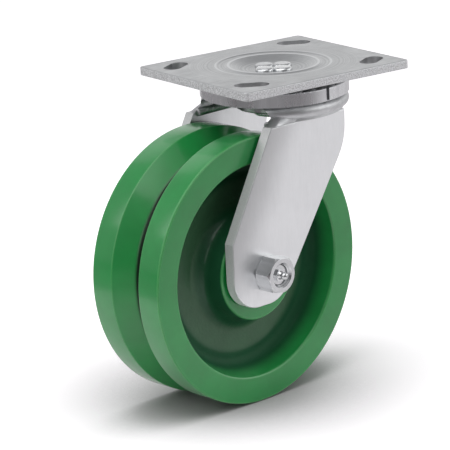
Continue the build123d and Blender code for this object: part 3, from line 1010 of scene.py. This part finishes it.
class CASTER_OT_axle(bpy.types.Operator):
    """Finish the axle bolt and its nut, and cut the nut's thread"""

    bl_idname = "caster.axle"
    bl_label = "Axle and Nut"

    def execute(self, context):
        finish = zinc_finish(
            "Fastener Zinc",
            centre=AXLE_CENTRE,
            turn=AXLE_TURN,
            stretch=(1.0, 1.0, 0.3),
            density=500.0,
            rough=(0.12, 0.24),
            rings=0.3,
            edge_wear_highlight=0.8,
        )
        dress_nodes(["axle_bolt", "axle_nut"], finish)
        sizes = context.scene.caster_sizes
        nut_end, _ = span_along(NODES["axle_nut"], AXLE, AXLE_CENTRE)
        bolt_end, _ = span_along(NODES["axle_bolt"], AXLE, AXLE_CENTRE)
        turns = int((bolt_end - nut_end) / sizes.thread_pitch) - 1
        clear_selection()
        bpy.ops.mesh.primitive_circle_add(
            vertices=4,
            radius=sizes.thread_pitch * 0.44,
            location=(sizes.thread_radius, 0.0, 0.0),
            rotation=(math.radians(90.0), 0.0, 0.0),
        )
        thread = context.object
        thread.name = "nut_thread"
        bpy.ops.object.transform_apply(location=True, rotation=True, scale=True)
        screw = thread.modifiers.new("Helix", "SCREW")
        screw.axis = "Z"
        screw.steps = 48
        screw.render_steps = 48
        screw.screw_offset = sizes.thread_pitch
        screw.iterations = max(1, turns)
        bpy.ops.object.modifier_apply(modifier=screw.name)
        thread.rotation_euler = AXLE.to_track_quat("Z", "Y").to_euler()
        thread.location = AXLE_CENTRE + AXLE * (nut_end + sizes.thread_pitch)
        bpy.ops.object.mode_set(mode="EDIT")
        bpy.ops.mesh.select_all(action="SELECT")
        bpy.ops.mesh.normals_make_consistent(inside=False)
        bpy.ops.object.mode_set(mode="OBJECT")
        dress(thread, finish)
        smooth(thread, 40.0)
        settle(thread, "yoke")
        return {"FINISHED"}


class CASTER_OT_nipple(bpy.types.Operator):
    """Finish the grease nipple and its check ball"""

    bl_idname = "caster.nipple"
    bl_label = "Grease Nipple"

    def execute(self, context):
        finish = zinc_finish("Nipple Zinc", rough=(0.12, 0.26), edge_wear_highlight=0.8)
        dress_nodes(["grease_nipple", "nipple_ball"], finish)
        return {"FINISHED"}


class CASTER_OT_bearings(bpy.types.Operator):
    """Finish the races, balls, rollers, sleeve and washers"""

    bl_idname = "caster.bearings"
    bl_label = "Bearings and Washers"

    def execute(self, context):
        ground = zinc_finish(
            "Ground Bearing Steel",
            density=700.0,
            tone=0.85,
            rough=(0.14, 0.28),
            grain_depth=0.08,
        )
        washer = zinc_finish(
            "Washer Steel",
            centre=AXLE_CENTRE,
            turn=AXLE_TURN,
            density=500.0,
            tone=0.85,
            rough=(0.3, 0.45),
            rings=0.6,
        )
        dress_nodes(["upper_balls", "lower_balls", "lower_race"], ground)
        dress_nodes(["rollers", "roller_cage", "bearing_sleeve", "spanner_bushing"], ground)
        dress_nodes(["near_end_washer", "far_end_washer"], washer)
        dress_nodes(["near_thrust_washer", "far_thrust_washer"], washer)
        return {"FINISHED"}


class CASTER_OT_welds(bpy.types.Operator):
    """Lay the rippled weld beads along the inside of the legs"""

    bl_idname = "caster.welds"
    bl_label = "Weld Beads"

    def execute(self, context):
        finish = zinc_finish(
            "Weld Zinc",
            density=400.0,
            tone=0.95,
            rough=(0.2, 0.4),
            grain_depth=0.5,
            pit_depth=0.6,
        )
        welds = NODES["leg_welds"]
        dress(welds, finish)
        front, rear = span_along(welds, TRAVEL)
        low, high = span_along(welds, UP)
        near, far = span_along(welds, AXLE)
        step = context.scene.caster_sizes.weld_ripple
        radius = (high - low) / 2
        inset = context.scene.caster_sizes.weld_inset
        beads = []
        for name, across in (("near_bead", near + inset), ("far_bead", far - inset)):
            start = TRAVEL * front + AXLE * across + UP * (low + high) / 2
            beads.append(rippled_bead(name, start, TRAVEL, rear - front, radius, step))
        clear_selection()
        for bead in beads:
            bead.select_set(True)
        context.view_layer.objects.active = beads[0]
        bpy.ops.object.join()
        bead = context.object
        bead.name = "rippled_welds"
        dress(bead, finish)
        smooth(bead, 50.0)
        settle(bead, "yoke")
        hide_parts("leg_welds")
        return {"FINISHED"}


class CASTER_OT_studio(bpy.types.Operator):
    """Lay the pale floor, hang the lamps and stand the camera"""

    bl_idname = "caster.studio"
    bl_label = "Studio"

    def execute(self, context):
        studio = context.scene.caster_studio
        scene = context.scene
        scene.view_settings.view_transform = "Standard"
        self.floor(studio)
        self.world(scene)
        self.lamps()
        self.camera(scene, studio)
        return {"FINISHED"}

    def floor(self, studio):
        """A pale sheet with a painted shadow under the wheel, from ambient occlusion; metal and
        enamel see where the sheet ends.
        """
        clear_selection()
        level = cad_low.z - studio.floor_drop
        bpy.ops.mesh.primitive_plane_add(size=FLOOR_SIZE, location=(0.0, 0.0, level))
        floor = bpy.context.object
        floor.name = "studio_floor"
        bpy.ops.object.transform_apply(location=True, rotation=True, scale=True)
        material = bpy.data.materials.new("Studio Floor")
        material.use_nodes = True
        tree = material.node_tree
        tree.nodes.clear()
        path = add_node(tree, "ShaderNodeLightPath", (-300, 300)).outputs
        place = add_node(tree, "ShaderNodeTexCoord", (-900, 0)).outputs["Object"]
        across = calculate_vector(tree, (-700, 0), "DOT_PRODUCT", place, SHEET_RIGHT)["Value"]
        back = calculate_vector(tree, (-700, -200), "DOT_PRODUCT", place, SHEET_BACK)["Value"]
        edges = [
            spread(tree, node_place, reach, edge - blur, edge + blur, studio.surround, 1.0)
            for node_place, reach, edge, blur in (
                ((-500, 0), across, -studio.sheet_left, 0.02),
                ((-500, -200), back, -studio.sheet_front, 0.12),
            )
        ]
        right = spread(tree, (-500, 200), across, 0.05, 0.2, 1.0, studio.sheet_right_tone)
        lit = calculate(tree, (-350, -50), "MULTIPLY", *edges)
        sheet = calculate(tree, (-250, -100), "MULTIPLY", lit, right)

        # Painted shadow: ambient occlusion darkens the floor's colour under the wheel, and keeps
        # the added light off the floor there.
        open_sky = add_node(
            tree,
            "ShaderNodeAmbientOcclusion",
            (-700, -500),
            {"Distance": studio.foot_reach},
            samples=16,
        ).outputs["AO"]
        foot = spread(tree, (-400, -350), open_sky, 0.3, 0.97, studio.foot_shade, 1.0)
        fade = spread(tree, (-400, -600), open_sky, 0.55, 1.0, 0.0, studio.floor_lift)
        # The painted shadow again, weaker, where metal and enamel see the floor.
        under = spread(tree, (-400, -850), open_sky, 0.4, 1.0, studio.foot_mirrored_shade, 1.0)
        mirrored = calculate(tree, (-100, -100), "MULTIPLY", sheet, under)
        seen = mix_values(tree, (50, 0), path["Is Camera Ray"], mirrored, foot)
        colour = mix_colours(tree, (250, 100), seen, FLOOR_PAINTED_SHADE_DARK, FLOOR_PALE)

        glowing = calculate(tree, (-250, -300), "MULTIPLY", sheet, studio.mirrored_lift)
        glowing = calculate(tree, (-100, -250), "MULTIPLY", path["Is Glossy Ray"], glowing)
        glowing = calculate(tree, (50, -250), "ADD", path["Is Camera Ray"], glowing, clamp=True)
        lift = calculate(tree, (200, -300), "MULTIPLY", fade, glowing)
        matt = add_node(tree, "ShaderNodeBsdfDiffuse", (500, 100), {"Color": colour})
        glow = add_node(
            tree, "ShaderNodeEmission", (500, -100), {"Color": WHITE, "Strength": lift}
        )
        both = add_node(
            tree, "ShaderNodeAddShader", (800, 0), {0: matt.outputs[0], 1: glow.outputs[0]}
        )
        add_node(tree, "ShaderNodeOutputMaterial", (1000, 0), {"Surface": both.outputs[0]})
        dress(floor, material)

    def world(self, scene):
        """A white backdrop behind the caster, a bright side to the right, a dim room in front."""
        world = bpy.data.worlds.new("Studio Room")
        scene.world = world
        world.use_nodes = True
        tree = world.node_tree
        tree.nodes.clear()
        source = add_node(tree, "ShaderNodeTexCoord", (-900, -100)).outputs["Generated"]
        ray = add_node(tree, "ShaderNodeSeparateXYZ", (-700, -100), {0: source}).outputs
        heading = calculate(tree, (-500, 0), "ARCTAN2", ray["Y"], ray["X"])
        around = spread(tree, (-300, 0), heading, -math.pi, math.pi)
        walls = add_node(tree, "ShaderNodeValToRGB", (-100, 0), {0: around})
        walls.color_ramp.interpolation = "EASE"
        elements = walls.color_ramp.elements
        for index, (degrees, level) in enumerate(ROOM_WALLS):
            place = (degrees + 180.0) / 360.0
            element = elements[index] if index < 2 else elements.new(place)
            element.position = place
            element.color = (level, level, level, 1.0)
        overhead = spread(tree, (-100, -300), ray["Z"], 0.3, 0.7, smooth=True)
        colour = mix_colours(tree, (300, -100), overhead, walls.outputs[0], CEILING)
        room = add_node(tree, "ShaderNodeBackground", (600, -100), {"Color": colour})
        white = add_node(tree, "ShaderNodeBackground", (600, 100), {"Color": WHITE})
        camera_ray = add_node(tree, "ShaderNodeLightPath", (600, 400)).outputs["Is Camera Ray"]
        pick = add_node(
            tree,
            "ShaderNodeMixShader",
            (800, 0),
            {0: camera_ray, 1: room.outputs[0], 2: white.outputs[0]},
        )
        add_node(tree, "ShaderNodeOutputWorld", (1000, 0), {"Surface": pick.outputs[0]})

    def lamps(self):
        for name, place, size, power in PANELS:
            clear_selection()
            bpy.ops.object.light_add(type="AREA", location=place)
            lamp = bpy.context.object
            lamp.name = name
            lamp.data.shape = "RECTANGLE"
            lamp.data.size, lamp.data.size_y = size
            lamp.data.energy = power
            lamp.rotation_euler = (LAMP_TARGET - Vector(place)).to_track_quat("-Z", "Y").to_euler()

    def camera(self, scene, studio):
        heading, tilt, roll = studio.camera_heading, studio.camera_tilt, studio.camera_roll
        forward = Vector(
            (
                math.cos(tilt) * math.cos(heading),
                math.cos(tilt) * math.sin(heading),
                -math.sin(tilt),
            )
        )
        level = Vector((math.sin(heading), -math.cos(heading), 0.0))
        upright = level.cross(forward)
        right = level * math.cos(roll) + upright * math.sin(roll)
        up = upright * math.cos(roll) - level * math.sin(roll)
        turn = Matrix((right, up, -forward)).transposed().to_4x4()
        bpy.ops.object.camera_add()
        camera = bpy.context.object
        camera.name = "photo_camera"
        camera.matrix_world = Matrix.Translation(Vector(studio.camera_place)) @ turn
        camera.data.sensor_width = 36.0
        camera.data.lens = studio.camera_lens
        camera.data.clip_start = 0.05
        camera.data.clip_end = 40.0
        scene.camera = camera


class CASTER_PT_panel(bpy.types.Panel):
    """The caster's pieces and settings"""

    bl_idname = "CASTER_PT_panel"
    bl_label = "V-Groove Caster"
    bl_space_type = "VIEW_3D"
    bl_region_type = "UI"
    bl_category = "Caster"

    def draw(self, context):
        layout = self.layout
        column = layout.column(align=True)
        for step in STEPS:
            column.operator(step.bl_idname)
        for settings in (
            context.scene.caster_sizes,
            context.scene.caster_colours,
            context.scene.caster_studio,
        ):
            box = layout.box()
            for key in settings.__annotations__:
                box.prop(settings, key)


STEPS = (
    CASTER_OT_plate,
    CASTER_OT_kingpin,
    CASTER_OT_crown,
    CASTER_OT_legs,
    CASTER_OT_welds,
    CASTER_OT_wheel,
    CASTER_OT_axle,
    CASTER_OT_nipple,
    CASTER_OT_bearings,
    CASTER_OT_studio,
)
CLASSES = (CasterSizes, CasterColours, CasterStudio, *STEPS, CASTER_PT_panel)


def register():
    for cls in CLASSES:
        bpy.utils.register_class(cls)
    bpy.types.Scene.caster_sizes = PointerProperty(type=CasterSizes)
    bpy.types.Scene.caster_colours = PointerProperty(type=CasterColours)
    bpy.types.Scene.caster_studio = PointerProperty(type=CasterStudio)


def unregister():
    del bpy.types.Scene.caster_sizes
    del bpy.types.Scene.caster_colours
    del bpy.types.Scene.caster_studio
    for cls in reversed(CLASSES):
        bpy.utils.unregister_class(cls)


def main():
    """Makes every piece in order."""
    register()
    bpy.ops.caster.plate()
    bpy.ops.caster.kingpin()
    bpy.ops.caster.crown()
    bpy.ops.caster.legs()
    bpy.ops.caster.welds()
    bpy.ops.caster.wheel()
    bpy.ops.caster.axle()
    bpy.ops.caster.nipple()
    bpy.ops.caster.bearings()
    bpy.ops.caster.studio()


if __name__ == "__main__":
    main()
